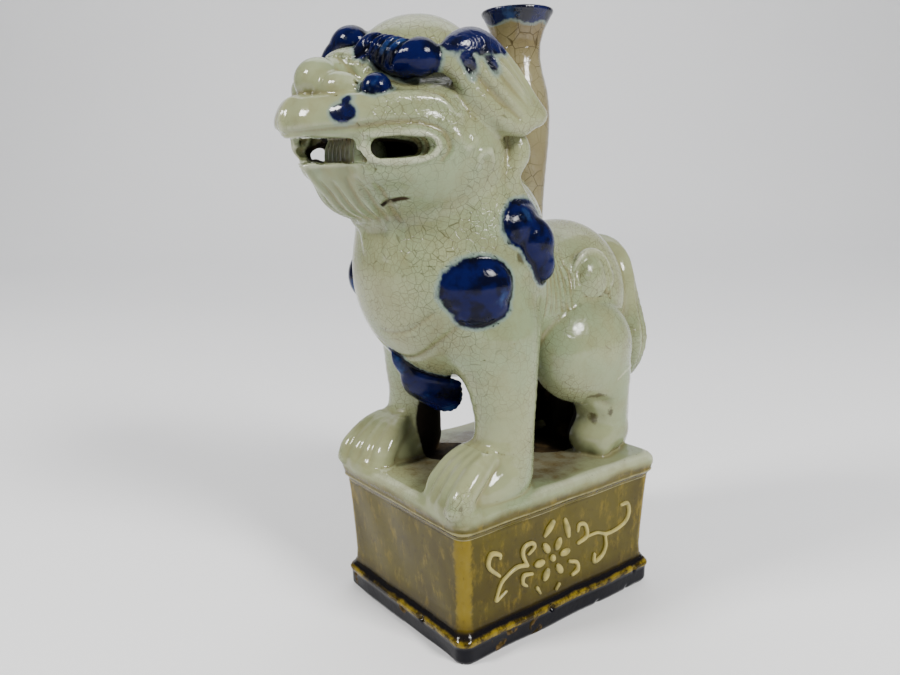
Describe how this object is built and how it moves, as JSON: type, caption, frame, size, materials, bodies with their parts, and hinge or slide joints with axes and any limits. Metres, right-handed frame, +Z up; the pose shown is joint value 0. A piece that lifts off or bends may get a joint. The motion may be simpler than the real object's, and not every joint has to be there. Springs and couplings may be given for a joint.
{
  "type": "foo dog statue",
  "caption": "Glazed ceramic guardian lion seated on a hollow rectangular plinth, with an upright tube on its back that holds a joss stick.",
  "frame": {"origin": "middle of the bounding box on the surface the plinth stands on; the plinth's own middle is 6.75 mm towards +Y", "axes": "+Z up, the lion faces -Y, its left side is +X"},
  "size_m": [0.0812, 0.1486, 0.229],
  "materials": {
    "celadon_glaze": "glossy pale grey-green celadon glaze with a fine dark crackle, thin and paler on edges, stained brown in recesses",
    "cobalt_glaze": "glossy cobalt blue under the clear glaze, darkest in pools, with drips and paler edges",
    "olive_glaze": "glossy olive-brown glaze with vertical streaks, yellow-brown on corners, dark band at the foot",
    "tube_glaze": "glossy grey-beige glaze with a coarse brown crackle and a cobalt lip"
  },
  "bodies": {
    "root": {"plinth_top": "olive_glaze", "plinth_front_wall": "olive_glaze", "plinth_back_wall": "olive_glaze", "plinth_left_wall": "olive_glaze", "plinth_right_wall": "olive_glaze", "left_flower_sprig": "olive_glaze", "right_flower_sprig": "olive_glaze", "torso": "celadon_glaze", "left_foreleg": "celadon_glaze", "right_foreleg": "celadon_glaze", "left_forepaw": "celadon_glaze", "right_forepaw": "celadon_glaze", "left_haunch": "celadon_glaze", "right_haunch": "celadon_glaze", "left_hind_foot": "celadon_glaze", "right_hind_foot": "celadon_glaze", "tail": "celadon_glaze", "left_hip_curl": "celadon_glaze", "right_hip_curl": "celadon_glaze", "head": "celadon_glaze", "lower_jaw": "celadon_glaze", "tongue": "celadon_glaze", "left_fang": "celadon_glaze", "right_fang": "celadon_glaze", "nose": "celadon_glaze", "left_ear": "celadon_glaze", "right_ear": "celadon_glaze", "left_mane_lock": "celadon_glaze", "right_mane_lock": "celadon_glaze", "left_eye": "cobalt_glaze", "right_eye": "cobalt_glaze", "left_brow": "cobalt_glaze", "right_brow": "cobalt_glaze", "left_bell": "cobalt_glaze", "right_bell": "cobalt_glaze", "left_mane_tuft": "cobalt_glaze", "right_mane_tuft": "cobalt_glaze", "chest_tassel": "cobalt_glaze", "incense_tube": "tube_glaze"}
  },
  "joints": []
}
